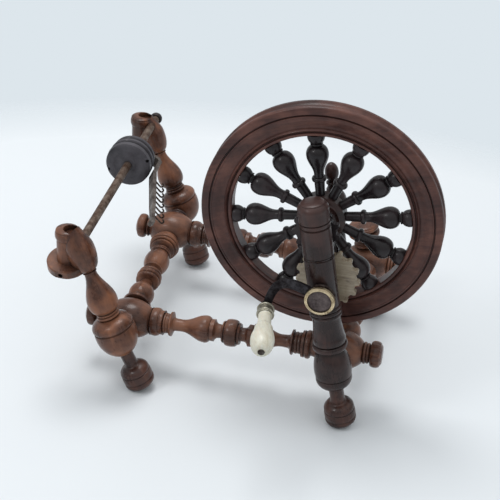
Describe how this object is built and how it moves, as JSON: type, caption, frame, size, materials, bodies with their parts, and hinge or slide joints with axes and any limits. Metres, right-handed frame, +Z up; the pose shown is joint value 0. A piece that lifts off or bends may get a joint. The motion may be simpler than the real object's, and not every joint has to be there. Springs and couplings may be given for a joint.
{
  "type": "spinning wheel",
  "caption": "Table-top hand-cranked spinning wheel with turned wood frame, spoked drive wheel, geared crank and one-armed flyer.",
  "frame": {"origin": "centre of the bounding box at table level", "axes": "+X from the flyer end to the wheel, +Y from the crank side to the back, +Z up"},
  "size_m": [0.3248, 0.3196, 0.2784],
  "materials": {
    "frame_wood": "satin, waxed",
    "dark_wood": "satin, waxed",
    "wheel_wood": "satin",
    "ebonised_wood": "semi-gloss black",
    "steel": "dull, browned",
    "iron": "dark, browned",
    "brass": "worn",
    "bone": "polished bone",
    "tarnished_silver": "tarnished",
    "grey_horn": "grey horn, satin"
  },
  "bodies": {
    "frame": {"front_rail": "frame_wood", "rear_rail": "frame_wood", "left_cross_rail": "frame_wood", "right_cross_rail": "frame_wood", "front_left_collar": "dark_wood", "rear_left_collar": "dark_wood", "front_right_collar": "dark_wood", "front_left_maiden": "frame_wood", "rear_left_maiden": "frame_wood", "front_spool": "frame_wood", "rear_spool": "frame_wood", "front_right_post": "dark_wood", "rear_wheel_support": "dark_wood", "rear_right_stub": "frame_wood", "front_left_foot": "frame_wood", "rear_left_foot": "frame_wood", "front_right_foot": "frame_wood", "rear_right_foot": "frame_wood"},
    "wheel": {"wheel_rim": "wheel_wood", "wheel_hub": "wheel_wood", "wheel_spokes": "ebonised_wood", "wheel_axle": "steel", "axle_sleeve": "dark_wood", "axle_pinion": "dark_wood"},
    "crank": {"crank_gear": "bone", "crank_shaft": "steel", "crank_collar": "iron", "crank_arm": "iron", "crank_ring": "brass", "crank_disc": "iron", "crank_pin": "iron"},
    "handle": {"handle_ferrule": "tarnished_silver", "handle_grip": "bone"},
    "flyer": {"spindle": "steel", "spindle_nub": "ebonised_wood", "whorl": "ebonised_wood", "flyer_arm": "grey_horn", "flyer_hooks": "iron"}
  },
  "joints": [
    {"name": "wheel_spin", "type": "hinge", "parent": "frame", "child": "wheel", "pos_m": [0.06237, -0.04012, 0.1784], "axis": [0, 1, 0], "continuous": true},
    {"name": "crank_turn", "type": "hinge", "parent": "frame", "child": "crank", "pos_m": [0.07527, -0.08182, 0.1369], "axis": [0, 1, 0], "continuous": true},
    {"name": "handle_spin", "type": "hinge", "parent": "crank", "child": "handle", "pos_m": [0.03227, -0.10052, 0.1219], "axis": [0.1542, -0.9862, -0.0601], "continuous": true},
    {"name": "flyer_spin", "type": "hinge", "parent": "frame", "child": "flyer", "pos_m": [-0.12893, -0.08182, 0.144], "axis": [-0.0246, 0.9997, 0], "continuous": true}
  ],
  "couplings": [
    {"joint": "crank_turn", "follows": "wheel_spin", "ratio": -0.73333}
  ]
}
